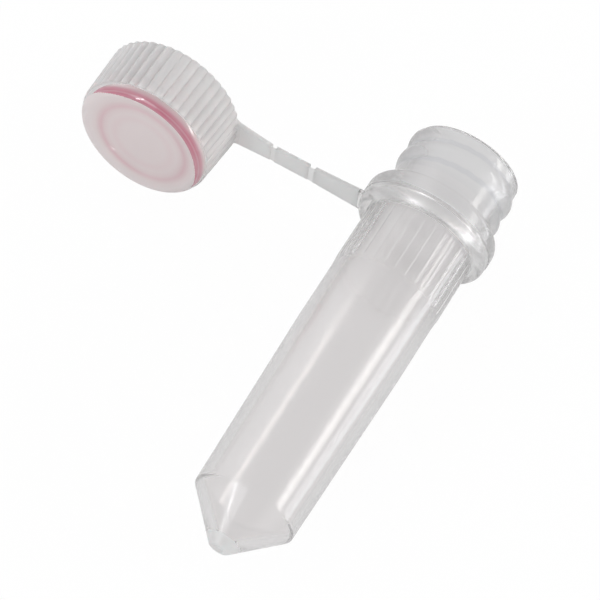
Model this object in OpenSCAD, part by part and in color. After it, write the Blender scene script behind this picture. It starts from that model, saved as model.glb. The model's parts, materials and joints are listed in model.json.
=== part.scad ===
// Screw-cap microtube with a conical bottom and a tethered cap, lying open on a bench.
// Built about the tube's own axis, then laid down with its mouth towards +Y and its strap towards -X.

/* [Tube] */
// Height of the tube along its axis, from tip to rim
tube_h = 45.3; // [43:0.1:48]
// Outer radius of the straight stretch that sits in a rack
body_r = 5.38; // [5.2:0.01:6.5]
// Step from there up to the land under the ribs and the loop ring
land_step = 0.04; // [0.01:0.01:0.1]
// Height over which the body widens to that land
land_rise = 0.65; // [0.6:0.05:2]
// Thickness of the wall along the straight bore
wall_t = 0.92; // [0.8:0.01:1.1]
// Narrowing of the body from its straight stretch to its foot, on the radius
foot_taper = 0.38; // [0.2:0.01:0.6]
// Thickness of the wall at the foot
foot_wall = 0.75; // [0.6:0.01:0.9]
// Height above the tip at which the body stops widening
straight_z = 23; // [18:0.5:26]
// Height above the tip at which the inside stops widening
bore_z = 28; // [18:0.5:32]
// Height of the outer cone under the body
cone_h = 4.4; // [3.8:0.1:5.5]
// Radius of the blunt tip
tip_r = 1.15; // [0.8:0.05:1.6]
// Thickness of the plastic at the deepest point of the inside
tip_wall = 1; // [0.7:0.05:1.5]

/* [Grip ribs] */
// Number of fine ribs around the top of the body
rib_count = 30; // [12:1:32]
// Length of the ribbed band
rib_h = 6.2; // [3:0.1:7]
// Radius of each rounded rib
rib_r = 0.2; // [0.15:0.01:0.3]
// How far the ribs stand out of the body
rib_out = 0.1; // [0.05:0.01:0.15]

/* [Collar and neck] */
// How far the collar stands out of the body
collar_out = 1.25; // [1:0.01:1.3]
// Height of the collar
collar_h = 2.2; // [1.8:0.1:2.6]
// Radius of the collar's rounded shoulder
shoulder_r = 0.85; // [0.4:0.05:0.9]
// Height of the neck above the collar
neck_h = 5.9; // [4.9:0.1:7]
// Thickness of the neck's wall between the turns of its thread
neck_wall = 1.2; // [1:0.01:1.25]
// Rounding of the rim
rim_edge_r = 0.22; // [0.1:0.01:0.3]

/* [Tether] */
// Height of the loop ring under the collar
ring_h = 1.45; // [1.2:0.05:1.8]
// How far the loop ring stays inside the collar's outline
ring_inset = 0.08; // [0.03:0.01:0.2]
// Height of the chamfer under the loop ring
ring_chamfer = 0.6; // [0.2:0.05:0.8]
// Radial running clearance of the loop ring on the tube
ring_gap = 0.07; // [0.03:0.01:0.09]
// Height of the strap's underside over the ring's lower face
strap_up = 0.8; // [0.3:0.05:0.85]
// Thickness of the strap
strap_t = 0.45; // [0.35:0.01:0.55]
// Width of the strap where it leaves the ring
strap_w_ring = 3; // [2.6:0.1:3.6]
// Width of the strap along the short link
strap_w_link = 2.1; // [1.8:0.1:2.6]
// Width of the strap where it meets the cap
strap_w_cap = 2.9; // [2.5:0.1:3.6]
// Thickness of the film left at each living hinge
film_t = 0.15; // [0.1:0.01:0.2]
// Distance from the closed cap's wall out to the first living hinge
hinge_out = 4.9; // [4:0.05:6.1]
// Angle that the first living hinge folds through to close the tube
inner_fold = 105; // [92:1:112]
// Twist of the whole strap as the open tube lies down
strap_twist = 8; // [2:0.5:12]

/* [Cap] */
// Thickness of the cap's wall at its open edge, over the knurls
cap_wall = 0.95; // [0.9:0.01:1.3]
// Radial room between the neck and the cap's skirt for the thread
thread_room = 0.3; // [0.25:0.01:0.45]
// How far the knurled wall leans in towards the closed top
cap_taper = 0.22; // [0.1:0.01:0.27]
// Gap between the closed cap's open edge and the collar
cap_lift = 1.15; // [0.5:0.05:1.3]
// Number of knurls around the cap
knurl_count = 45; // [30:1:48]
// Depth of the valleys between the knurls
knurl_depth = 0.26; // [0.23:0.01:0.4]
// Height of the chamfer on the knurls at the open edge
knurl_chamfer = 0.3; // [0.1:0.05:0.4]
// Height of the smooth rounded rim over the knurls
cap_rim_h = 1; // [1:0.05:1.5]
// Radius of the rounded edge of the closed top
cap_edge_r = 0.95; // [0.4:0.05:0.95]
// Thickness of the closed top
cap_top_t = 0.6; // [0.5:0.05:0.75]
// Depth of the plug that centres the seal
plug_h = 0.9; // [0.6:0.05:1.1]

/* [Seal] */
// Diameter of the O-ring's section
seal_d = 1.2; // [0.95:0.05:1.45]
// Gap left between the closed cap's seal and the rim
seal_gap = 0.05; // [0.02:0.01:0.1]

/* [Hidden] */
$fn = 96;
slack = 0.01;
slit = 0.02;
// Small edges and chamfers that no drawing would size
bevel = 0.1;
tip_edge = 0.3;
cup_floor_r = 0.6;
film_inset = 0.1;
ring_foot = 0.6;
strap_root = 0.5;
lathe_over = 1;

// Radii of the tube, and of what fits round its neck
land_r = body_r + land_step;
bore_r = land_r - wall_t;
foot_r = body_r - foot_taper;
foot_bore_r = foot_r - foot_wall;
collar_r = land_r + collar_out;
neck_r = bore_r + neck_wall;
ring_r = collar_r - ring_inset;
skirt_r = neck_r + thread_room;
cap_r = skirt_r + cap_wall;
hinge_reach = cap_r + hinge_out;

// Heights along the tube's axis, from the tip
rim_z = tube_h;
neck_z = rim_z - neck_h;
collar_z = neck_z - collar_h;
land_z = collar_z - ring_h;
rib_z = land_z - rib_h;
ring_z = land_z + slit;
strap_z = ring_z + strap_up + strap_t / 2;
inner_cone_z = cone_h + 5 * bevel;

// Angle at which the tube lies on its collar and on the foot of its body
lean = atan((collar_r - foot_r) / (collar_z - cone_h));
axis_rise = foot_r * cos(lean) - cone_h * sin(lean);

// Closed cap: its seal sits over the rim, and its open edge sits over the collar
seal_r = (bore_r + neck_r) / 2;
closed_edge_z = neck_z + cap_lift;
cap_h = rim_z - closed_edge_z + seal_gap + seal_d + cap_top_t;
closed_rise = closed_edge_z + strap_t / 2 - strap_z;

// Strap: both hinges lie across it at half of its twist, and fold through 180 degrees in all.
// The link's length, the cap's reach and the cap's offset bring the closed cap onto the tube's axis.
half_twist = strap_twist / 2;
outer_fold = 180 - inner_fold;
link_rise = closed_rise / (cos(half_twist) + tan(strap_twist) * sin(half_twist));
link_l = link_rise / sin(inner_fold);
cap_reach = hinge_reach + link_l * cos(inner_fold);
cap_offset = link_rise * sin(half_twist) / cos(strap_twist);
cap_x = hinge_reach + link_l + cap_reach;
gap_inner = strap_t / 2 * tan(inner_fold / 2) + slack;
gap_outer = strap_t / 2 + slack;

// Turn of the loop ring on the tube that lets the cap's open edge rest on the bench
cap_rest = cap_r * cos(strap_twist - lean);
ring_turn = asin((cap_rest - axis_rise - strap_z * sin(lean) - cap_offset) / cap_x);

// Middle of the whole part on the bench
middle_x = (cap_x + cap_r - collar_r) / 2;
middle_y = rim_z * cos(lean) / 2;

// Arc of points about a centre, from one angle to another
function arc(cx, cy, r, from, to, steps = 8) =
    [for (i = [0:steps]) let (a = from + (to - from) * i / steps) [cx + r * cos(a), cy + r * sin(a)]];

// Radius of the knurled outline at a fraction of one knurl's pitch: round ridges, narrow valleys
function knurl_radius(f) = cap_r + slack - knurl_depth * (1 - pow(abs(cos(180 * f)), 0.8));

// Lays the tube's axis along +Y, resting on its collar and on the foot of its body
module laid() {
    translate([middle_x, -middle_y, axis_rise]) rotate([lean - 90, 0, 0]) children();
}

// Strap's frame: X out of the ring, Z up the tube's axis, at the strap's mid-plane
module on_strap(x = 0, twist = 0) {
    laid() translate([0, 0, strap_z]) rotate([0, 0, 180 + ring_turn])
        translate([x, 0, 0]) rotate([twist, 0, 0]) children();
}

// Cap's frame: origin at the centre of the open edge, Z towards the closed top
module at_cap() {
    on_strap() translate([cap_x, cap_offset, 0]) rotate([strap_twist + 180, 0, 0])
        translate([0, 0, -strap_t / 2]) children();
}

// Flat piece of strap along X
module strap_piece(from, to, width, t = strap_t) {
    translate([from, -width / 2, -t / 2]) cube([to - from, width, t]);
}

// Thin slice of strap, for the ends of the twisted pieces
module strap_slice(x, width, twist) {
    translate([x, 0, 0]) rotate([twist, 0, 0]) cube([slack, width, strap_t], center = true);
}

module tube_outline() {
    outside = [
        [0, 0], [tip_r - tip_edge, 0], [tip_r, tip_edge], [foot_r, cone_h], [body_r, straight_z],
        [body_r, rib_z - land_rise - bevel], [land_r, rib_z - bevel], [land_r, collar_z],
        [collar_r - bevel, collar_z], [collar_r, collar_z + bevel]
    ];
    shoulder = arc(collar_r - shoulder_r, neck_z - shoulder_r, shoulder_r, 0, 90);
    rim = concat(
        arc(neck_r - rim_edge_r, rim_z - rim_edge_r, rim_edge_r, 0, 90, 4),
        arc(bore_r + rim_edge_r, rim_z - rim_edge_r, rim_edge_r, 90, 180, 4)
    );
    inside = [[bore_r, bore_z], [foot_bore_r, inner_cone_z], [cup_floor_r, tip_wall + bevel],
        [0, tip_wall]];
    polygon(concat(outside, shoulder, [[neck_r, neck_z]], rim, inside));
}

module tube() {
    color([0.86, 0.85, 0.87, 0.5]) laid() {
        rotate_extrude() tube_outline();
        for (i = [0:rib_count - 1])
            rotate([0, 0, i * 360 / rib_count])
                translate([land_r + rib_out - rib_r, 0, rib_z]) cylinder(h = rib_h, r = rib_r, $fn = 24);
    }
}

module ring_outline() {
    bore = land_r + ring_gap;
    top_z = collar_z - slit;
    polygon([
        [bore, ring_z], [ring_r - ring_foot, ring_z], [ring_r, ring_z + ring_chamfer],
        [ring_r, top_z], [bore, top_z]
    ]);
}

module tether_ring() {
    color([0.80, 0.79, 0.80, 0.6]) {
        laid() rotate_extrude() ring_outline();
        on_strap() hull() {
            strap_slice(ring_r - ring_foot / 2, strap_w_ring, 0);
            strap_slice(hinge_reach - gap_inner, strap_w_link, half_twist);
        }
        on_strap(hinge_reach, half_twist)
            strap_piece(-gap_inner - slack, gap_inner - slit, strap_w_link - 2 * film_inset, film_t);
    }
}

module strap_link() {
    color([0.80, 0.79, 0.80, 0.6]) on_strap(hinge_reach, half_twist) {
        strap_piece(gap_inner, link_l - gap_outer, strap_w_link);
        strap_piece(link_l - gap_outer - slack, link_l + gap_outer - slit,
            strap_w_link - 2 * film_inset, film_t);
    }
}

// Outside of the cap as if it were turned on a lathe, over the tips of the knurls
module cap_envelope() {
    rim_r = cap_r - cap_taper - knurl_depth / 2;
    knurl_h = cap_h - cap_rim_h;
    outline = concat(
        [[0, 0], [cap_r - knurl_chamfer / 2, 0], [cap_r, knurl_chamfer]],
        [[cap_r - cap_taper, knurl_h - knurl_depth / 2], [rim_r, knurl_h]],
        arc(rim_r - cap_edge_r, cap_h - cap_edge_r, cap_edge_r, 0, 90),
        [[0, cap_h]]
    );
    rotate_extrude() polygon(outline);
}

module knurled_block() {
    steps = 6;
    points = [for (i = [0:knurl_count * steps - 1])
        let (a = i * 360 / (knurl_count * steps), r = knurl_radius(i / steps)) [r * cos(a), r * sin(a)]];
    linear_extrude(height = cap_h) polygon(points);
}

module cap_inside() {
    seat_r = seal_r + seal_d / 2 + slit;
    plug_r = seal_r - seal_d / 2 - slit;
    roof_z = cap_h - cap_top_t;
    seat_z = roof_z - seal_d - bevel;
    rotate_extrude() polygon([
        [0, -lathe_over], [skirt_r, -lathe_over], [skirt_r, seat_z - (skirt_r - seat_r)], [seat_r, seat_z],
        [seat_r, roof_z], [plug_r, roof_z], [plug_r, roof_z - plug_h], [0, roof_z - plug_h]
    ]);
}

module cap() {
    color([0.80, 0.78, 0.79, 0.6]) {
        at_cap() difference() {
            intersection() {
                cap_envelope();
                knurled_block();
            }
            cap_inside();
        }
        on_strap() hull() {
            strap_slice(hinge_reach + link_l + gap_outer, strap_w_link, half_twist);
            translate([0, cap_offset, 0]) strap_slice(cap_x - cap_r + strap_root, strap_w_cap, strap_twist);
        }
    }
}

module o_ring() {
    color([0.80, 0.36, 0.42]) at_cap() translate([0, 0, cap_h - cap_top_t - seal_d / 2])
        rotate_extrude() translate([seal_r, 0]) circle(d = seal_d, $fn = 48);
}

tube();
tether_ring();
strap_link();
cap();
o_ring();
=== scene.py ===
"""Looks of the open screw cap microtube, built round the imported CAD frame.

Sizes are in mm and angles in degrees, until a mesh is placed. Each lathed piece is a profile of (radius,
height) points turned round its own axis, in the frame that TUBE, STRAP or CAP gives.
"""
import json
import math

import bmesh
import bpy
import numpy as np
from mathutils import Matrix, Vector


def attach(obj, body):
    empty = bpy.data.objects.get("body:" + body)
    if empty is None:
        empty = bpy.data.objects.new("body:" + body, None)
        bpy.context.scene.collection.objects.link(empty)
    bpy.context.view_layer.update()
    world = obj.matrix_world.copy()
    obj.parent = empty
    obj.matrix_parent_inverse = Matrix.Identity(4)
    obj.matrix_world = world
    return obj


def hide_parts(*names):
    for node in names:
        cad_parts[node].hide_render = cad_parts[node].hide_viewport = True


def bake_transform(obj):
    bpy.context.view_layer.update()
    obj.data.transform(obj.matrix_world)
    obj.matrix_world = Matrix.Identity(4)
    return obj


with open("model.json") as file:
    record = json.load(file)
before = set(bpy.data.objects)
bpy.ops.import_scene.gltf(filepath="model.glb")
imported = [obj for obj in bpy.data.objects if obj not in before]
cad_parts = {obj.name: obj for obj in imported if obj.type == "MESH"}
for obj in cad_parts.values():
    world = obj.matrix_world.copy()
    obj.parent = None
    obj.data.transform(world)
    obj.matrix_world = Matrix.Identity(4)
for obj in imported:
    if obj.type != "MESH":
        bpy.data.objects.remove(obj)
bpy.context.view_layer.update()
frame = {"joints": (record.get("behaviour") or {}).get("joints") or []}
MM = 0.001
TAU = 2 * math.pi
SHARP = 38  # angle from which an edge is shaded as sharp
SLACK = 0.02  # gap between the seal or the loop ring and what it sits in

# Sizes of the CAD solids. The shoulder, the ring's chamfer and the ribs are softer here than there.
TUBE_H, BODY_R, LAND_R, FOOT_R, CONE_H, TIP_R = 45.3, 5.38, 5.42, 5.0, 4.4, 1.15
BORE_R, FOOT_BORE_R, BORE_Z, TIP_WALL, STRAIGHT_Z = 4.5, 4.25, 28.0, 1.0, 23.0
NECK_Z, COLLAR_R, COLLAR_Z, SHOULDER_R = 39.4, 6.67, 37.2, 1.12
RING_Z, RING_TOP, RING_R, RING_BORE, RING_CHAMFER = 35.77, 37.18, 6.59, 5.49, 0.78
RIB_Z, RIB_TOP, RIB_COUNT, RIB_OUT, RIB_HALF = 29.55, 35.75, 30, 0.04, 0.2
STRAP_T, STRAP_EDGE, FILM_T, FILM_EDGE = 0.45, 0.07, 0.15, 0.05
STRAP_Z, HALF_TWIST, TWIST = 36.795, 4.0, 8.0
W_RING, W_LINK, W_CAP, GAP_INNER, GAP_OUTER = 3.0, 2.1, 2.9, 0.303, 0.235
CAP_R, CAP_H, CAP_RIM, SKIRT_R, CAP_TOP = 6.95, 6.6, 1.0, 6.0, 0.6
CAP_TAPER, KNURLS, KNURL_DEPTH, CAP_EDGE, PLUG_H = 0.22, 45, 0.26, 0.95, 0.9
SEAL_R, SEAL_D = 5.1, 1.2

# The threads, which the CAD leaves out. The neck's passes THREAD_Z at the angle THREAD_PHASE.
ROOT_R = 5.34  # radius of the neck under its thread
THREAD_PITCH, THREAD_H, THREAD_Z, THREAD_PHASE = 2.2, 0.35, 43.25, 12
CAP_THREAD_H, CAP_THREAD_Z = 0.2, 1.4
NECK_TURNS, CAP_TURNS = (-390, 330), (-150, 470)  # angles at which each thread starts and ends


# ---------------------------------------------------------------- frames
def frame_of(x, y, z, origin):
    """Matrix of a frame with these axes and this origin."""
    m = Matrix((x, y, z)).transposed().to_4x4()
    m.translation = origin
    return m


joints = {j["name"]: j for j in frame["joints"]}
axis = Vector(joints["ring_turn"]["axis"]).normalized()
loop_centre = Vector(joints["ring_turn"]["pos_m"])
hinge_1 = Vector(joints["inner_fold"]["pos_m"])
hinge_2 = Vector(joints["outer_fold"]["pos_m"])
strap_x = (hinge_1 - loop_centre).normalized()
strap_y = axis.cross(strap_x)
tube_x = Vector((1, 0, 0))
TUBE = frame_of(tube_x, axis.cross(tube_x), axis, loop_centre - axis * STRAP_Z * MM)
STRAP = frame_of(strap_x, strap_y, axis, loop_centre)
REACH_1 = (hinge_1 - loop_centre).length / MM
REACH_2 = (hinge_2 - loop_centre).length / MM
INNER_FOLD = math.radians(joints["inner_fold"]["range_deg"][1])
LINK = REACH_2 - REACH_1
CAP_X = REACH_1 + LINK + REACH_1 + LINK * math.cos(INNER_FOLD)
half = math.radians(HALF_TWIST)
CAP_OFFSET = LINK * math.sin(INNER_FOLD) * math.sin(half) / math.cos(2 * half)
RIM_R = CAP_R - CAP_TAPER - KNURL_DEPTH / 2
CAP = (
    STRAP
    @ Matrix.Translation((CAP_X * MM, CAP_OFFSET * MM, 0))
    @ Matrix.Rotation(math.radians(TWIST + 180), 4, "X")
    @ Matrix.Translation((0, 0, -STRAP_T / 2 * MM))
)


# ---------------------------------------------------------------- camera
CAMERA_TURN, CAMERA_DOWN, CAMERA_ROLL = 22.26, 60.01, -8.87
TIP_RIGHT, TIP_UP, TIP_AHEAD = -7.12, -21.68, 278.8  # where the tube's tip is, as the camera sees it


def make_camera():
    """Looks down at the bench, rolled a little, and is placed from the tube's tip."""
    az, el, roll = (math.radians(a) for a in (CAMERA_TURN, CAMERA_DOWN, CAMERA_ROLL))
    ahead = Vector((-math.sin(az) * math.cos(el), math.cos(az) * math.cos(el), -math.sin(el)))
    level = Vector((math.cos(az), math.sin(az), 0))
    over = level.cross(ahead)
    right = math.cos(roll) * level - math.sin(roll) * over
    up = math.sin(roll) * level + math.cos(roll) * over
    place = TUBE.translation - (right * TIP_RIGHT + up * TIP_UP + ahead * TIP_AHEAD) * MM
    data = bpy.data.cameras.new("camera")
    data.lens, data.sensor_width = 192, 36
    data.clip_start, data.clip_end = 0.01, 10
    cam = bpy.data.objects.new("camera", data)
    cam.matrix_world = frame_of(right, up, -ahead, place)
    bpy.context.scene.collection.objects.link(cam)
    bpy.context.scene.camera = cam


make_camera()


# ---------------------------------------------------------------- mesh helpers
def mesh_object(name, verts, faces, place, sharp):
    """Smooth-shaded closed mesh, from sizes in mm in the frame of a place."""
    mesh = bpy.data.meshes.new(name)
    mesh.from_pydata([tuple(v) for v in verts], [], faces)
    mesh.transform(place @ Matrix.Scale(MM, 4))
    bm = bmesh.new()
    bm.from_mesh(mesh)
    bmesh.ops.recalc_face_normals(bm, faces=bm.faces)
    bm.to_mesh(mesh)
    bm.free()
    mesh.shade_smooth()
    if sharp:
        mesh.set_sharp_from_angle(angle=math.radians(sharp))
    mesh.update()
    obj = bpy.data.objects.new(name, mesh)
    bpy.context.scene.collection.objects.link(obj)
    return obj


def arc(cr, cz, r, start, end, n=8):
    """Points (radius, height) on an arc, angles in degrees from the outward direction."""
    steps = [math.radians(start + (end - start) * i / n) for i in range(n + 1)]
    return [(cr + r * math.cos(a), cz + r * math.sin(a)) for a in steps]


def line(p, q, n):
    """n points from p towards q, without q."""
    return [(p[0] + (q[0] - p[0]) * i / n, p[1] + (q[1] - p[1]) * i / n) for i in range(n)]


def held(profile, near=0.035):
    """Adds points beside the bends of a profile, so that smooth shading stays on the bends."""
    out = []
    for i, (p, q) in enumerate(zip(profile, profile[1:])):
        out.append(p)
        d = math.dist(p, q)
        if d < 5 * near:
            continue
        before, after = profile[i - 1], profile[(i + 2) % len(profile)]
        for a, b, c, u in ((before, p, q, near / d), (p, q, after, 1 - near / d)):
            bend = math.atan2(c[1] - b[1], c[0] - b[0]) - math.atan2(b[1] - a[1], b[0] - a[0])
            if abs(math.remainder(bend, TAU)) > 0.03:
                out.append((p[0] + (q[0] - p[0]) * u, p[1] + (q[1] - p[1]) * u))
    return out + [profile[-1]]


def lathe(name, profile, turns, place, shape=None, closed=False, sharp=SHARP):
    """Closed surface of revolution. shape(r, z, t) gives the radius where detail changes it."""
    profile = held(profile)
    t = np.asarray(turns)
    n = len(t)
    verts, rows = [], []
    for r, z in profile:
        if r == 0:
            rows.append([len(verts)] * n)
            verts.append((0, 0, z))
            continue
        radius = np.full(n, float(r)) if shape is None else shape(r, z, t)
        rows.append(list(range(len(verts), len(verts) + n)))
        verts += list(zip(radius * np.cos(t), radius * np.sin(t), np.full(n, z)))
    faces = []
    pairs = list(zip(rows, rows[1:])) + ([(rows[-1], rows[0])] if closed else [])
    for low, high in pairs:
        for j in range(n):
            k = (j + 1) % n
            f = [low[j], low[k], high[k], high[j]]
            faces.append([v for i, v in enumerate(f) if v != f[i - 1]])
    return mesh_object(name, verts, faces, place, sharp)


def rounded_box(w, h, r, n=4):
    """Outline of a rounded rectangle as (y, z) pairs."""
    r = min(r, w / 2 - 1e-4, h / 2 - 1e-4)
    out = []
    for cy, cz, a in ((1, 1, 0), (-1, 1, 90), (-1, -1, 180), (1, -1, 270)):
        for i in range(n + 1):
            b = math.radians(a + 90 * i / n)
            out.append((cy * (w / 2 - r) + r * math.cos(b), cz * (h / 2 - r) + r * math.sin(b)))
    return out


def strap(name, stations, place):
    """Swept strap. Each station is (x, width, thickness, twist in degrees, edge radius, (y, z) shift)."""
    verts, faces = [], []
    for x, w, h, twist, r, shift in stations:
        c, s = math.cos(math.radians(twist)), math.sin(math.radians(twist))
        outline = rounded_box(w, h, r)
        verts += [(x, y * c - z * s + shift[0], y * s + z * c + shift[1]) for y, z in outline]
    n = len(outline)
    for i in range(len(stations) - 1):
        for j in range(n):
            k = (j + 1) % n
            faces.append([i * n + j, i * n + k, (i + 1) * n + k, (i + 1) * n + j])
    faces.append(list(range(n - 1, -1, -1)))
    faces.append([(len(stations) - 1) * n + j for j in range(n)])
    return mesh_object(name, verts, faces, place, 50)


def unite(a, b):
    """Joins b into a as one closed surface."""
    m = a.modifiers.new("union", "BOOLEAN")
    m.operation, m.solver, m.object = "UNION", "MANIFOLD", b
    bpy.context.view_layer.objects.active = a
    bpy.ops.object.modifier_apply(modifier=m.name)
    bpy.data.objects.remove(b)
    a.data.shade_smooth()
    a.data.set_sharp_from_angle(angle=math.radians(SHARP))


def smooth(x, a, b):
    """Rises smoothly from 0 at a to 1 at b."""
    u = np.clip((x - a) / (b - a), 0, 1)
    return u * u * (3 - 2 * u)


# ---------------------------------------------------------------- materials
PLASTIC_IOR, COAT_ROUGH = 1.45, 0.05
HAZE_LOW, HAZE_HIGH, HAZE_ROUGH = 22, 37, 0.4  # heights between which the bore turns hazy, and how rough


def nodes_of(name):
    """New material with its node tree and its Principled shader."""
    mat = bpy.data.materials.new(name)
    mat.use_nodes = True
    nt = mat.node_tree
    return mat, nt, nt.nodes["Principled BSDF"]


def noise(nt, scale, detail, stretch=None):
    """Value socket of a noise in the object's own space, with its scale in blotches per metre."""
    coord = nt.nodes.new("ShaderNodeTexCoord")
    node = nt.nodes.new("ShaderNodeTexNoise")
    node.inputs["Scale"].default_value = scale
    node.inputs["Detail"].default_value = detail
    if stretch:
        mapping = nt.nodes.new("ShaderNodeMapping")
        mapping.inputs["Scale"].default_value = stretch
        nt.links.new(coord.outputs["Object"], mapping.inputs["Vector"])
        nt.links.new(mapping.outputs["Vector"], node.inputs["Vector"])
    else:
        nt.links.new(coord.outputs["Object"], node.inputs["Vector"])
    return node.outputs["Fac"]


def remap(nt, source, low, high):
    """Spreads the middle of a noise over the range from low to high."""
    node = nt.nodes.new("ShaderNodeMapRange")
    node.inputs["From Min"].default_value, node.inputs["From Max"].default_value = 0.3, 0.7
    node.inputs["To Min"].default_value, node.inputs["To Max"].default_value = low, high
    nt.links.new(source, node.inputs["Value"])
    return node.outputs["Result"]


def tint(nt, source, dark, light):
    """Mixes two colours by a socket."""
    node = nt.nodes.new("ShaderNodeMix")
    node.data_type = "RGBA"
    node.inputs["A"].default_value = (*dark, 1)
    node.inputs["B"].default_value = (*light, 1)
    nt.links.new(source, node.inputs["Factor"])
    return node.outputs["Result"]


def skin(nt, p, clear, coat, height, strength, depth):
    """What all the plastics share: clearness, a glossy coat and a fine bump."""
    p.inputs["IOR"].default_value = PLASTIC_IOR
    p.inputs["Transmission Weight"].default_value = clear
    p.inputs["Coat Weight"].default_value = coat
    p.inputs["Coat Roughness"].default_value = COAT_ROUGH
    bump = nt.nodes.new("ShaderNodeBump")
    bump.inputs["Strength"].default_value = strength
    bump.inputs["Distance"].default_value = depth
    nt.links.new(height, bump.inputs["Height"])
    nt.links.new(bump.outputs["Normal"], p.inputs["Normal"])


def plastic(name, dark, light, rough, clear, bump=0.005, coat=0.0, milky=0.0):
    """Moulded polypropylene: clear to hazy, with faint flow marks and a satin skin."""
    mat, nt, p = nodes_of(name)
    flow = noise(nt, 260, 4, (1.0, 0.25, 1.0))
    fine = noise(nt, 2600, 2)
    nt.links.new(tint(nt, remap(nt, flow, 0, 1), dark, light), p.inputs["Base Color"])
    nt.links.new(remap(nt, fine, rough * 0.9, rough * 1.15), p.inputs["Roughness"])
    p.inputs["Subsurface Weight"].default_value = milky
    p.inputs["Subsurface Radius"].default_value = (1.0, 0.9, 0.9)
    p.inputs["Subsurface Scale"].default_value = 0.0015
    skin(nt, p, clear, coat, flow, bump, 0.00006)
    return mat


def bore(name):
    """The bore's skin: the tube's plastic, clear below and hazier up towards the mouth."""
    mat = plastic(name, *TUBE_TINTS, TUBE_ROUGH, 1.0)
    nt = mat.node_tree
    coord = nt.nodes.new("ShaderNodeTexCoord")
    along = nt.nodes.new("ShaderNodeVectorMath")
    along.operation = "DOT_PRODUCT"
    along.inputs[1].default_value = axis
    nt.links.new(coord.outputs["Object"], along.inputs[0])
    haze = nt.nodes.new("ShaderNodeMapRange")
    haze.interpolation_type = "SMOOTHSTEP"
    for end, height, level in (("Min", HAZE_LOW, TUBE_ROUGH), ("Max", HAZE_HIGH, HAZE_ROUGH)):
        haze.inputs["From " + end].default_value = (TUBE @ Vector((0, 0, height * MM))).dot(axis)
        haze.inputs["To " + end].default_value = level
    nt.links.new(along.outputs["Value"], haze.inputs["Value"])
    nt.links.new(haze.outputs["Result"], nt.nodes["Principled BSDF"].inputs["Roughness"])
    return mat


def ringed(name, centre, colours, rough, clear, coat=0.0):
    """Plastic with colour painted in rings round a point of the cap, as the seal seen through it, with the
    colours given by distance in mm.
    """
    far = 7.0
    mat, nt, p = nodes_of(name)
    coord = nt.nodes.new("ShaderNodeTexCoord")
    away = nt.nodes.new("ShaderNodeVectorMath")
    away.operation = "DISTANCE"
    away.inputs[1].default_value = CAP @ (Vector(centre) * MM)
    nt.links.new(coord.outputs["Object"], away.inputs[0])
    radius = nt.nodes.new("ShaderNodeMapRange")
    radius.inputs["From Max"].default_value = far * MM
    nt.links.new(away.outputs["Value"], radius.inputs["Value"])
    ramp = nt.nodes.new("ShaderNodeValToRGB")
    stops = ramp.color_ramp.elements
    stops[0].color, stops[1].color = (*colours[0][1], 1), (*colours[-1][1], 1)
    for at, colour in colours:
        stops.new(at / far).color = (*colour, 1)
    nt.links.new(radius.outputs["Result"], ramp.inputs["Fac"])
    patchy = nt.nodes.new("ShaderNodeMix")
    patchy.data_type = "RGBA"
    patchy.inputs["A"].default_value = (*colours[0][1], 1)
    nt.links.new(ramp.outputs["Color"], patchy.inputs["B"])
    nt.links.new(remap(nt, noise(nt, 190, 2), 0.6, 1.0), patchy.inputs["Factor"])
    nt.links.new(patchy.outputs["Result"], p.inputs["Base Color"])
    nt.links.new(remap(nt, noise(nt, 5200, 1), rough * 0.9, rough * 1.2), p.inputs["Roughness"])
    skin(nt, p, clear, coat, noise(nt, 4200, 1), 0.1, 0.00004)
    return mat


def silicone(name):
    """Soft red seal, a little blotchy."""
    mat, nt, p = nodes_of(name)
    spots = noise(nt, 900, 4)
    red = tint(nt, remap(nt, spots, 0, 1), (0.88, 0.26, 0.38), (0.93, 0.32, 0.44))
    nt.links.new(red, p.inputs["Base Color"])
    nt.links.new(remap(nt, noise(nt, 5000, 2), 0.26, 0.42), p.inputs["Roughness"])
    p.inputs["Subsurface Weight"].default_value = 0.25
    p.inputs["Subsurface Radius"].default_value = (1.0, 0.25, 0.3)
    p.inputs["Subsurface Scale"].default_value = 0.0006
    return mat


# Painted view of the seal seen through the cap: soft pink rings on the matt face, centred a little off the
# axis, and a striped red band on one side of the rounded edge
FACE_PAINTED_SEAL_RINGS = (
    (0.5, (0.88, 0.79, 0.79)), (2.3, (0.88, 0.79, 0.79)), (3.0, (0.87, 0.74, 0.75)),
    (3.6, (0.88, 0.78, 0.78)), (4.1, (0.86, 0.72, 0.73)), (4.5, (0.83, 0.60, 0.64)),
    (5.1, (0.93, 0.83, 0.83)), (5.6, (0.95, 0.88, 0.88)),
)
EDGE_PAINTED_SEAL_BAND = (
    (5.6, (0.97, 0.88, 0.88)), (5.75, (0.86, 0.42, 0.50)), (5.95, (0.80, 0.22, 0.34)),
    (6.15, (0.78, 0.16, 0.29)), (6.27, (0.87, 0.42, 0.51)), (6.34, (0.80, 0.22, 0.34)),
    (6.48, (0.85, 0.36, 0.46)), (6.56, (0.93, 0.66, 0.71)), (6.66, (0.97, 0.90, 0.90)),
)
FROST_WAY = math.radians(61)  # side of the cap that the frost reaches furthest down

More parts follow.
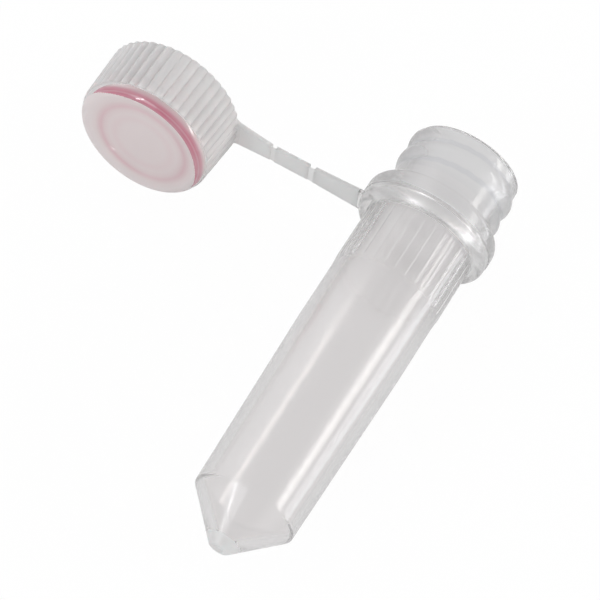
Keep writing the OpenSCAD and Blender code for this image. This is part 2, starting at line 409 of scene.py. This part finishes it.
# Each plastic is between two close tints, for its flow marks
TUBE_TINTS, TUBE_ROUGH = ((0.975, 0.96, 0.96), (0.985, 0.97, 0.97)), 0.14
# Lighter tints for the collar and the loop ring than for the rest of the tube: painted light
COLLAR_LIGHTENED_TINTS = (1.0, 0.99, 0.99), (1.0, 1.0, 1.0)
# Darker tints for the neck than for the rest of the tube: painted shade
NECK_SHADED_TINTS = (0.93, 0.925, 0.93), (0.94, 0.935, 0.94)
TIP_TINTS = (0.98, 0.965, 0.965), (0.99, 0.975, 0.975)
CAP_TINTS = (0.98, 0.955, 0.95), (0.985, 0.96, 0.955)
PALE_TINTS = (0.98, 0.975, 0.97), (0.99, 0.985, 0.98)
tube_plastic = plastic("tube_plastic", *TUBE_TINTS, TUBE_ROUGH, 1.0)
bore_haze = bore("bore_haze")
# Paler, less clear plastic along the rib crests: painted highlights standing in for glints
rib_painted_highlight = plastic("rib_painted_highlight", *PALE_TINTS, 0.42, 0.1)
tip_haze = plastic("tip_haze", *TIP_TINTS, 0.42, 0.35, coat=0.4, milky=1.0)
collar_plastic_painted_light = plastic("collar_plastic_painted_light", *COLLAR_LIGHTENED_TINTS, 0.19, 1.0)
neck_plastic_painted_shade = plastic("neck_plastic_painted_shade", *NECK_SHADED_TINTS, 0.2, 1.0)
# Darker, bluer copy of the neck's plastic along the thread's grooves: painted shade in the valleys
groove_painted_shade = plastic("groove_painted_shade", (0.77, 0.775, 0.805), (0.79, 0.795, 0.825), 0.2, 1.0)
neck_bore_painted_shade = plastic("neck_bore_painted_shade", *NECK_SHADED_TINTS, HAZE_ROUGH, 1.0)
cap_plastic = plastic("cap_plastic", *CAP_TINTS, 0.42, 0.3, coat=0.5, milky=1.0)
cap_clear = plastic("cap_clear", *COLLAR_LIGHTENED_TINTS, 0.16, 1.0)
# Frosted face and rounded edge of the cap, both with a painted view of the seal seen through them
cap_frost_painted_seal = ringed("cap_frost_painted_seal", (-0.35, -0.35, CAP_H), FACE_PAINTED_SEAL_RINGS, 0.48, 0.2)
cap_painted_seal_band = ringed("cap_painted_seal_band", (0, 0, CAP_H), EDGE_PAINTED_SEAL_BAND, 0.18, 0.4, coat=1.0)
strap_plastic = plastic("strap_plastic", (0.975, 0.97, 0.96), (0.985, 0.98, 0.97), 0.42, 0.25, milky=1.0)
hinge_white = plastic("hinge_white", (0.98, 0.98, 0.975), (0.99, 0.99, 0.985), 0.45, 0.05, 0.02)
hinge_pale = plastic("hinge_pale", *PALE_TINTS, 0.42, 0.25, 0.02)
seal_rubber = silicone("seal_rubber")


def away(c):
    """Distance of a face centre from the axis of the frame it is given in."""
    return math.hypot(c.x, c.y)


def turned(c):
    """Angle of a face centre round that axis."""
    return math.degrees(math.atan2(c.y, c.x))


def outside(c):
    """Whether a face centre of the tube lies on the outside of its wall."""
    return away(c) > BORE_R + 0.3


def inside(c):
    """Whether a face centre of the tube lies on its bore."""
    return away(c) < BORE_R + 0.16


def paint(obj, mat, place, test):
    """Gives a second material to the faces whose centre passes a test in mm in the frame of a place."""
    back = (place @ Matrix.Scale(MM, 4)).inverted()
    obj.data.materials.append(mat)
    for face in obj.data.polygons:
        if test(back @ face.center):
            face.material_index = len(obj.data.materials) - 1


def finish_piece(obj, mat, body, slot, *replaced):
    """Gives a piece its main material, its body and the CAD node it stands for. The slot is not used."""
    obj.data.materials.clear()
    obj.data.materials.append(mat)
    if body:
        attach(obj, body)
    if replaced:
        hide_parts(*replaced)


# ---------------------------------------------------------------- tube
def thread_height(z, t, start, end, middle_z, narrow):
    """Height of a right-handed thread's ridge, 0 to 1, at height z and angles t.

    The thread runs from the angle start to the angle end, and passes middle_z at THREAD_PHASE.
    """
    deg = np.degrees(t) % 360
    best = np.zeros_like(deg)
    for k in range(-2, 4):
        a = deg + 360 * k
        centre = middle_z + THREAD_PITCH * (a - THREAD_PHASE) / 360
        ridge = (0.5 + 0.5 * np.cos(TAU * np.clip((z - centre) / THREAD_PITCH, -0.5, 0.5))) ** narrow
        fade = smooth(a, start, start + 45) * (1 - smooth(a, end - 60, end))
        best = np.maximum(best, ridge * fade)
    return best


def tube_shape(r, z, t):
    """Radius of the tube's outside round its axis: the neck's thread and the grip ribs."""
    if r > BORE_R + 0.5 and NECK_Z < z < TUBE_H - 0.15:
        ends = smooth(z, NECK_Z, NECK_Z + 0.35) * (1 - smooth(z, TUBE_H - 0.6, TUBE_H - 0.2))
        return r + THREAD_H * ends * thread_height(z, t, *NECK_TURNS, THREAD_Z, 0.55)
    if r > LAND_R - 0.1 and RIB_Z - 0.01 < z < RIB_TOP + 0.01:
        phase = (np.degrees(t) * RIB_COUNT / 360 + 0.5) % 1 - 0.5
        off = np.abs(phase) * TAU * LAND_R / RIB_COUNT
        ends = smooth(z, RIB_Z, RIB_Z + 0.45)
        return r + RIB_OUT * ends * np.clip(1 - (off / RIB_HALF) ** 2, 0, 1)
    return np.full(len(t), r)


def on_rib(c):
    """Whether a face centre lies along the crest of a rib, on the outside of the wall, where a painted
    highlight runs.
    """
    off = (turned(c) + 180 / RIB_COUNT) % (360 / RIB_COUNT) - 180 / RIB_COUNT
    return abs(off) < 0.4 and outside(c) and RIB_Z < c.z < RIB_TOP


def in_painted_groove_shade(c):
    """Whether a face centre lies along a groove of the neck's thread, on the outside of the wall, where shade
    is painted.
    """
    turn = (c.z - THREAD_Z) / THREAD_PITCH - (turned(c) - THREAD_PHASE) / 360
    between = NECK_Z + 1.1 < c.z < TUBE_H - 1.1 and away(c) > BORE_R + 0.6
    return between and abs(turn % 1 - 0.5) < 0.11


TIP_EDGE, FOOT_EDGE, COLLAR_EDGE, SHOULDER_DROP = 0.34, 0.14, 0.14, 0.22
RIM_OUT, RIM_IN, CUP_EDGE, CUP_FLOOR = 0.12, 0.15, 0.25, 0.95


def make_tube():
    """Tube: its outside from the tip up to the rim, then the bore back down."""
    # Columns of points crowd beside the crest of each rib
    rib_step = 360 / RIB_COUNT
    beside = (0, 0.4, 1.0, 1.6, 2.2, 2.8, 4.4, rib_step / 2)
    near_rib = {side * m for m in beside for side in (1, -1)}
    columns = {round((i * rib_step + m) % 360, 6) for i in range(RIB_COUNT) for m in near_rib}
    turns = [math.radians(a) for a in sorted(columns)]

    # Gate mark, tip, cone and foot
    p = [(0, 0.14), (0.3, 0.14), (0.38, 0.08), (0.46, 0.01), (0.55, 0)]
    cone = math.degrees(math.atan2(CONE_H - 0.3, FOOT_R - TIP_R))
    tip = arc(TIP_R - TIP_EDGE, TIP_EDGE, TIP_EDGE, -90, cone - 90, 10)
    foot = arc(FOOT_R - FOOT_EDGE, CONE_H + 0.05, FOOT_EDGE, cone - 90, 0, 8)
    p += tip + line(tip[-1], foot[0], 6)[1:] + foot
    # Body, and the land under the ribs and the loop ring
    p += line(foot[-1], (BODY_R, STRAIGHT_Z), 8)[1:]
    p += line((BODY_R, STRAIGHT_Z), (BODY_R, RIB_Z - 0.75), 3) + [(BODY_R, RIB_Z - 0.75)]
    p += line((LAND_R, RIB_Z), (LAND_R, RIB_Z + 0.5), 5) + line((LAND_R, RIB_Z + 0.5), (LAND_R, RIB_TOP), 4)
    p += [(LAND_R, RIB_TOP), (LAND_R, RIB_TOP + 0.04), (LAND_R, COLLAR_Z - 0.06), (LAND_R + 0.06, COLLAR_Z)]
    # Collar and its rounded shoulder
    p += arc(COLLAR_R - COLLAR_EDGE, COLLAR_Z + COLLAR_EDGE, COLLAR_EDGE, -90, 0, 5)
    p += arc(COLLAR_R - SHOULDER_R, NECK_Z - SHOULDER_R - SHOULDER_DROP, SHOULDER_R, 0, 90, 14)
    # Neck and rim
    p += [(ROOT_R + 0.1, NECK_Z - 0.21), (ROOT_R + 0.03, NECK_Z - 0.15), (ROOT_R, NECK_Z)]
    p += line((ROOT_R, NECK_Z + 0.18), (ROOT_R, TUBE_H - 0.14), 58)
    p += arc(ROOT_R - RIM_OUT, TUBE_H - RIM_OUT, RIM_OUT, 0, 90, 7)
    p += arc(BORE_R + RIM_IN, TUBE_H - RIM_IN, RIM_IN, 90, 180, 7)
    # Bore, inner cone and its rounded floor
    p += line((BORE_R, TUBE_H - 0.2), (BORE_R, BORE_Z), 6)
    p += line((BORE_R, BORE_Z), (FOOT_BORE_R, CONE_H + 0.55), 6)
    inner = arc(FOOT_BORE_R - CUP_EDGE, CONE_H + 0.45, CUP_EDGE, 0, -44, 8)
    p += inner + line(inner[-1], (0.75, TIP_WALL + 0.32), 6)[1:]
    p += arc(0.0, TIP_WALL + CUP_FLOOR, CUP_FLOOR, -42, -86, 6) + [(0, TIP_WALL)]
    obj = lathe("tube_shell", p, turns, TUBE, tube_shape)
    finish_piece(obj, tube_plastic, "tube", "tube_plastic", "tube")
    paint(obj, bore_haze, TUBE, lambda c: inside(c) and c.z > CONE_H + 2)
    # Painted shade: darker tints on the neck, inside and out
    paint(obj, neck_bore_painted_shade, TUBE, lambda c: inside(c) and c.z > NECK_Z + 1.4)
    paint(obj, neck_plastic_painted_shade, TUBE, lambda c: outside(c) and NECK_Z + 1 < c.z < TUBE_H - 0.3)
    # Painted shade: a darker tint along the thread's grooves
    paint(obj, groove_painted_shade, TUBE, in_painted_groove_shade)
    # Painted light: the collar in a lighter copy of the tube's plastic
    paint(obj, collar_plastic_painted_light, TUBE, lambda c: outside(c) and RIB_TOP - 0.1 < c.z < NECK_Z + 0.3)
    # Painted highlights: thin pale lines along the rib crests
    paint(obj, rib_painted_highlight, TUBE, on_rib)
    paint(obj, tip_haze, TUBE, lambda c: c.z < TIP_WALL - 0.2)


# ---------------------------------------------------------------- loop ring, strap and hinges
RING_BEVEL, RING_EDGE = 0.05, 0.08


def make_ring():
    """Loop ring, united with the strap up to the first hinge."""
    turns = [TAU * i / 240 for i in range(240)]
    foot_z, foot_r = RING_Z + RING_CHAMFER, RING_R - RING_CHAMFER
    p = [(RING_BORE, RING_Z + RING_BEVEL), (RING_BORE + RING_BEVEL, RING_Z), (foot_r - 0.1, RING_Z)]
    p += arc(foot_r, foot_z, RING_CHAMFER, -82, 0, 10)
    p += line((RING_R, foot_z + 0.1), (RING_R, RING_TOP - RING_EDGE), 3)
    p += arc(RING_R - RING_EDGE, RING_TOP - RING_EDGE, RING_EDGE, 0, 90, 4)
    p += [(RING_BORE + RING_BEVEL, RING_TOP), (RING_BORE, RING_TOP - RING_BEVEL)]
    place = STRAP @ Matrix.Translation((0, 0, -STRAP_Z * MM))
    ring = lathe("tether_loop", p, turns, place, closed=True)
    start, end = RING_R - 0.35, REACH_1 - GAP_INNER
    rows = []
    for i in range(9):
        u = i / 8
        width = W_RING + (W_LINK - W_RING) * u + 0.25 * max(0.0, 1 - u * 5) ** 2
        rows.append((start + (end - start) * u, width, STRAP_T, HALF_TWIST * u, STRAP_EDGE, (0, 0)))
    unite(ring, strap("strap_inner", rows, STRAP))
    # The loop ring in the lighter copy of the plastic: painted light
    finish_piece(ring, collar_plastic_painted_light, "tether_ring", "cap_plastic", "tether_ring")
    paint(ring, strap_plastic, STRAP, lambda c: c.x > RING_R + 0.25)


def make_link():
    """Short stretch of strap between the two hinges."""
    a, b = REACH_1 + GAP_INNER, REACH_2 - GAP_OUTER
    rows = [(a + (b - a) * i / 6, W_LINK, STRAP_T, HALF_TWIST, STRAP_EDGE, (0, 0)) for i in range(7)]
    link = strap("strap_middle", rows, STRAP)
    finish_piece(link, strap_plastic, "strap_link", "cap_plastic", "strap_link")


def make_film(name, at, gap, mat):
    """Thin web of a fold, level with the strap's lower face, thinnest in the middle."""
    reach, sink = gap + 0.01, -(STRAP_T - FILM_T) / 2 + 0.03
    shift = (-sink * math.sin(half), sink * math.cos(half))
    rows = []
    for i in range(17):
        u = i / 8 - 1
        thin = FILM_T * (0.8 + 0.2 * u * u)
        rows.append((at + reach * u, W_LINK - 0.04, thin, HALF_TWIST, FILM_EDGE, shift))
    film = strap(name, rows, STRAP)
    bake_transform(film)
    finish_piece(film, mat, None, "cap_plastic")


# ---------------------------------------------------------------- cap and seal
GRIP_Z = CAP_H - CAP_RIM  # where the grip ends under the smooth rim


def knurl(t):
    """Depth of the grip's grooves at angles t, 0 on the ridges and 1 in the valleys."""
    f = (np.degrees(t) * KNURLS / 360) % 1
    return 1 - np.abs(np.cos(math.pi * f)) ** 0.8


def cap_shape(r, z, t):
    """Radius of the cap's wall round its axis: the grip outside and the thread inside."""
    if r > SKIRT_R + 0.5 and -0.01 < z < GRIP_Z + 0.01:
        depth = KNURL_DEPTH * smooth(z, -0.25, 0.2) * (1 - smooth(z, GRIP_Z - 0.22, GRIP_Z))
        return r - depth * knurl(t)
    if SKIRT_R - 0.2 < r < SKIRT_R + 0.3 and 0.4 < z < CAP_H - 2.2:
        ends = smooth(z, 0.5, 0.9) * (1 - smooth(z, CAP_H - 2.7, CAP_H - 2.3))
        height = thread_height(z, -t, *CAP_TURNS, CAP_THREAD_Z, 0.9)
        return r + CAP_THREAD_H / 2 - CAP_THREAD_H * ends * height
    return np.full(len(t), r)


def edge_angle(c):
    """How far round the rounded edge of the cap a point lies, 0 on the flat and 90 degrees at the grip."""
    out = (away(c) - (RIM_R - CAP_EDGE)) / CAP_EDGE
    return math.degrees(math.asin(min(1.0, max(0.0, out))))


def facing(c):
    """1 on the side of the cap away from the painted seal band, -1 in the middle of the band."""
    return math.cos(math.atan2(c.y, c.x) - FROST_WAY)


def frost_end(c):
    """Edge angle at which the frost of the face stops."""
    return 12 + 43 * float(smooth(facing(c), -0.8, 0.3))


def painted_band_end(c):
    """Edge angle at which the painted seal band stops."""
    return 12 + 80 * (1 - float(smooth(facing(c), -0.8, 0.6)))


def make_cap():
    """Cap, united with the strap from the second hinge on."""
    turns = [TAU * i / (KNURLS * 10) for i in range(KNURLS * 10)]
    edge_z, roof = CAP_H - CAP_EDGE, CAP_H - CAP_TOP
    seat_r, plug_r = SEAL_R + SEAL_D / 2 + SLACK, SEAL_R - SEAL_D / 2 - SLACK
    seat_z, plug_z = roof - SEAL_D - 0.1, roof - PLUG_H
    top_r, low_r = CAP_R - CAP_TAPER + 0.01, CAP_R - 0.02

    # Closed top and its rounded edge
    p = [(0, CAP_H)] + line((0.8, CAP_H), (RIM_R - CAP_EDGE, CAP_H), 10)
    p += list(reversed(arc(RIM_R - CAP_EDGE, edge_z, CAP_EDGE, 0, 90, 40)))
    # Grip, down to the open edge
    p += [(RIM_R, GRIP_Z + 0.02), (RIM_R + 0.02, GRIP_Z)]
    p += line((CAP_R - CAP_TAPER - 0.03, GRIP_Z - 0.02), (top_r, GRIP_Z - 0.26), 4)
    p += line((top_r, GRIP_Z - 0.26), (low_r, 0.35), 12)
    p += [(low_r, 0.35), (CAP_R - 0.01, 0.2), (CAP_R - 0.06, 0.1), (CAP_R - 0.16, 0.03), (CAP_R - 0.3, 0)]
    p += [(SKIRT_R + 0.32, 0), (SKIRT_R + 0.15, 0.05), (SKIRT_R + 0.02, 0.2)]
    # Threaded skirt, and the seal's seat between it and the plug
    p += line((SKIRT_R, 0.35), (SKIRT_R, seat_z - 0.3), 44) + [(SKIRT_R, seat_z - 0.25)]
    p += [(seat_r + 0.03, seat_z - 0.02), (seat_r, seat_z + 0.05)]
    p += line((seat_r, seat_z + 0.1), (seat_r, roof - 0.1), 6) + [(seat_r - 0.1, roof)]
    p += [(plug_r + 0.1, roof), (plug_r, roof - 0.1), (plug_r, plug_z + 0.15), (plug_r - 0.15, plug_z)]
    p += line((plug_r - 0.3, plug_z), (0.3, plug_z), 6) + [(0, plug_z)]
    cap = lathe("cap_shell", p, turns, CAP, cap_shape)
    start, end = REACH_2 + GAP_OUTER, CAP_X - CAP_R + 0.55
    rows = []
    for i in range(11):
        u = i / 10
        width = W_LINK + (W_CAP - W_LINK) * u + 0.5 * max(0.0, u * 5 - 4) ** 2
        twist = HALF_TWIST + (TWIST - HALF_TWIST) * u
        rows.append((start + (end - start) * u, width, STRAP_T, twist, STRAP_EDGE, (CAP_OFFSET * u, 0)))
    unite(cap, strap("strap_outer", rows, STRAP))
    finish_piece(cap, cap_plastic, "cap", "cap_plastic", "cap")
    paint(cap, cap_clear, CAP, lambda c: seat_z - 0.1 < c.z < GRIP_Z and away(c) < SKIRT_R + 0.1)
    # Painted view of the seal: rings on the frosted face, a red band on one side of the edge
    paint(cap, cap_frost_painted_seal, CAP, lambda c: c.z > edge_z and edge_angle(c) < frost_end(c))
    paint(cap, cap_painted_seal_band, CAP, lambda c: c.z > edge_z and frost_end(c) <= edge_angle(c) < painted_band_end(c))
    paint(cap, strap_plastic, CAP, lambda c: away(c) > CAP_R + 0.05)


def make_seal():
    """Round ring with a faint moulding line inside and outside."""
    turns = [TAU * i / 180 for i in range(180)]
    r = SEAL_D / 2 - SLACK
    p = []
    for i in range(40):
        a = TAU * i / 40
        flash = 0.018 if i in (0, 20) else 0
        p.append((SEAL_R + (r + flash) * math.cos(a), r * math.sin(a)))
    place = CAP @ Matrix.Translation((0, 0, (CAP_H - CAP_TOP - SEAL_D / 2) * MM))
    seal = lathe("seal_ring", p, turns, place, closed=True, sharp=0)
    finish_piece(seal, seal_rubber, "cap", "seal_rubber", "o_ring")


make_tube()
make_ring()
make_link()
make_film("hinge_film_inner", REACH_1, GAP_INNER, hinge_white)
make_film("hinge_film_outer", REACH_2, GAP_OUTER, hinge_pale)
make_cap()
make_seal()


# ---------------------------------------------------------------- studio
WORLD_LOW, WORLD_HIGH = 0.72, 0.62  # strength of the sky near the floor and overhead
FULL_WHITE = 1.01  # how white the floor looks to the camera
IN_GLASS = 0.73  # how white it looks through glass and in gloss
CARD_AT = (0.0695, 0.02, 0.001)  # metres


def larger(nt, a, b):
    """Larger of two value sockets."""
    node = nt.nodes.new("ShaderNodeMath")
    node.operation = "MAXIMUM"
    nt.links.new(a, node.inputs[0])
    nt.links.new(b, node.inputs[1])
    return node.outputs[0]


def area(name, direction, distance, w, h, power, colour=(1, 1, 1)):
    """Rectangular lamp that faces the middle of the bench from a direction, sizes in metres."""
    data = bpy.data.lights.new(name, "AREA")
    data.shape, data.size, data.size_y, data.energy, data.color = "RECTANGLE", w, h, power, colour
    obj = bpy.data.objects.new(name, data)
    d = Vector(direction).normalized()
    obj.matrix_world = Matrix.Translation(d * distance) @ d.to_track_quat("Z", "Y").to_matrix().to_4x4()
    bpy.context.scene.collection.objects.link(obj)
    return obj


def white_floor(nt, lit):
    """Mixes plain light over the floor's shader: white to the camera, pale grey through glass and in gloss."""
    path = nt.nodes.new("ShaderNodeLightPath")
    camera = path.outputs["Is Camera Ray"]
    seen = larger(nt, larger(nt, camera, path.outputs["Is Glossy Ray"]), path.outputs["Is Transmission Ray"])
    level = nt.nodes.new("ShaderNodeMapRange")
    level.inputs["To Min"].default_value, level.inputs["To Max"].default_value = IN_GLASS, FULL_WHITE
    nt.links.new(camera, level.inputs["Value"])
    white = nt.nodes.new("ShaderNodeEmission")
    nt.links.new(level.outputs["Result"], white.inputs["Strength"])
    share = nt.nodes.new("ShaderNodeMath")
    share.operation = "MULTIPLY"
    share.inputs[1].default_value = 0.96  # the rest keeps the shadow
    nt.links.new(seen, share.inputs[0])
    mix = nt.nodes.new("ShaderNodeMixShader")
    nt.links.new(share.outputs[0], mix.inputs["Fac"])
    nt.links.new(lit, mix.inputs[1])
    nt.links.new(white.outputs[0], mix.inputs[2])
    return mix.outputs[0]


def make_floor():
    """Plain pale bench under the part."""
    size = 3.0
    mesh = bpy.data.meshes.new("floor")
    corners = [(-size, -size, 0), (size, -size, 0), (size, size, 0), (-size, size, 0)]
    mesh.from_pydata(corners, [], [(0, 1, 2, 3)])
    floor = bpy.data.objects.new("floor", mesh)
    bpy.context.scene.collection.objects.link(floor)
    mat, nt, p = nodes_of("floor")
    p.inputs["Base Color"].default_value = (0.92, 0.92, 0.92, 1)
    p.inputs["Roughness"].default_value = 0.9
    p.inputs["Specular IOR Level"].default_value = 0
    nt.links.new(white_floor(nt, p.outputs[0]), nt.nodes["Material Output"].inputs["Surface"])
    mesh.materials.append(mat)


def make_world():
    """Soft pale sky, white to the camera."""
    world = bpy.data.worlds.new("studio")
    bpy.context.scene.world = world
    world.use_nodes = True
    nt = world.node_tree
    nt.nodes.clear()
    coord = nt.nodes.new("ShaderNodeTexCoord")
    split = nt.nodes.new("ShaderNodeSeparateXYZ")
    nt.links.new(coord.outputs["Generated"], split.inputs[0])
    sky = nt.nodes.new("ShaderNodeMapRange")
    sky.inputs["From Min"].default_value, sky.inputs["From Max"].default_value = 0.1, 0.7
    sky.inputs["To Min"].default_value, sky.inputs["To Max"].default_value = WORLD_LOW, WORLD_HIGH
    nt.links.new(split.outputs["Z"], sky.inputs["Value"])
    path = nt.nodes.new("ShaderNodeLightPath")
    back = nt.nodes.new("ShaderNodeBackground")
    strength = larger(nt, sky.outputs["Result"], path.outputs["Is Camera Ray"])
    nt.links.new(strength, back.inputs["Strength"])
    out = nt.nodes.new("ShaderNodeOutputWorld")
    nt.links.new(back.outputs[0], out.inputs["Surface"])


def make_lamps():
    """Two soft lamps, two narrow ones for the lines of light along the tube, and a card."""
    area("key", (0.860, 0.383, 0.337), 0.6, 0.5, 0.12, 1.15, (1, 0.98, 0.95))
    area("fill", (-0.31, -0.84, 0.45), 0.6, 0.3, 0.3, 0.5, (0.97, 0.98, 1))
    # Glowing card flat on the bench beside the tube, for the second bright line along the body. It
    # lights the tube and its ring only, because the cap swings over it.
    card = area("card", (0, 0, -1), 0, 0.055, 0.12, 0.08, (0.96, 0.98, 1))
    card.location = CARD_AT
    card.visible_camera = False
    lit = bpy.data.collections.new("lit_by_card")
    for name in ("tube_shell", "tether_loop"):
        lit.objects.link(bpy.data.objects[name])
    card.light_linking.receiver_collection = lit
    area("edge", (-0.385, -0.864, 0.326), 0.6, 0.02, 0.4, 0.4)
    area("soft", (-0.75, 0.45, 0.48), 0.6, 0.6, 0.5, 0.6, (0.99, 0.99, 1))


make_floor()
make_world()
make_lamps()

# Light crosses many walls of clear plastic before it leaves
cycles = bpy.context.scene.cycles
cycles.max_bounces, cycles.transmission_bounces, cycles.glossy_bounces = 64, 64, 64
cycles.diffuse_bounces = 24
bpy.context.scene.view_settings.view_transform = "Standard"
